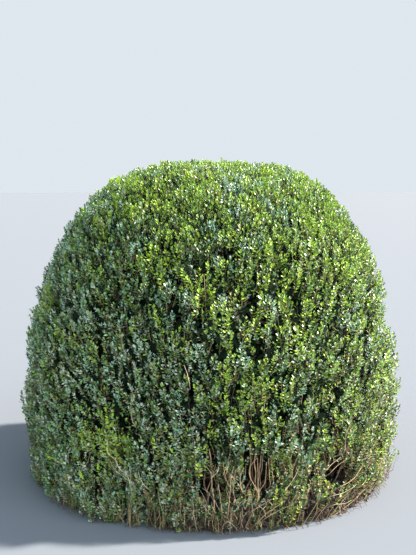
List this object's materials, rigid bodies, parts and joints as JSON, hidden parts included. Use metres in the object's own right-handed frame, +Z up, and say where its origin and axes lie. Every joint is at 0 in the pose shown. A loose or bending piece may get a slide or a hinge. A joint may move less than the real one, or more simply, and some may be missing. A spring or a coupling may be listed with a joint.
{
  "type": "clipped box topiary dome",
  "caption": "Evergreen box shrub clipped to a large garden dome, rooted in the ground, with dense small oval leaves over bare tan stems that show at its foot.",
  "frame": {"origin": "middle of the flat cut under the trunk, at ground level", "axes": "+Z up; -Y is the front, the side where the skirt is thin and the bare stems show; +X is to the right seen from the front"},
  "size_m": [1.9974, 2.0015, 1.6529],
  "materials": {
    "foliage": "small leathery dark green leaves with a soft gloss",
    "young_foliage": "small leathery leaves of a lighter, yellower green",
    "bark": "grey-tan fissured bark, matt",
    "stem_bark": "tan corky bark, matt"
  },
  "bodies": {
    "root": {"bough_1": "bark", "bough_2": "bark", "bough_3": "bark", "bough_4": "bark", "bough_5": "bark", "bough_6": "bark", "bough_7": "bark", "bough_middle": "bark", "foliage_crown": "foliage", "skirt_back": "foliage", "skirt_back_left": "foliage", "skirt_back_right": "foliage", "skirt_front_left": "foliage", "skirt_left": "foliage", "skirt_right": "foliage", "stem_front_1": "stem_bark", "stem_front_10": "stem_bark", "stem_front_11": "stem_bark", "stem_front_12": "stem_bark", "stem_front_13": "stem_bark", "stem_front_14": "stem_bark", "stem_front_15": "stem_bark", "stem_front_16": "stem_bark", "stem_front_17": "stem_bark", "stem_front_18": "stem_bark", "stem_front_2": "stem_bark", "stem_front_3": "stem_bark", "stem_front_4": "stem_bark", "stem_front_5": "stem_bark", "stem_front_6": "stem_bark", "stem_front_7": "stem_bark", "stem_front_8": "stem_bark", "stem_front_9": "stem_bark", "stem_ring_1": "stem_bark", "stem_ring_10": "stem_bark", "stem_ring_11": "stem_bark", "stem_ring_2": "stem_bark", "stem_ring_3": "stem_bark", "stem_ring_4": "stem_bark", "stem_ring_5": "stem_bark", "stem_ring_6": "stem_bark", "stem_ring_7": "stem_bark", "stem_ring_8": "stem_bark", "stem_ring_9": "stem_bark", "trunk": "bark", "tuft_far_right": "young_foliage", "tuft_front": "young_foliage", "tuft_front_right": "young_foliage", "tuft_middle": "young_foliage", "tuft_right": "young_foliage"}
  },
  "joints": []
}
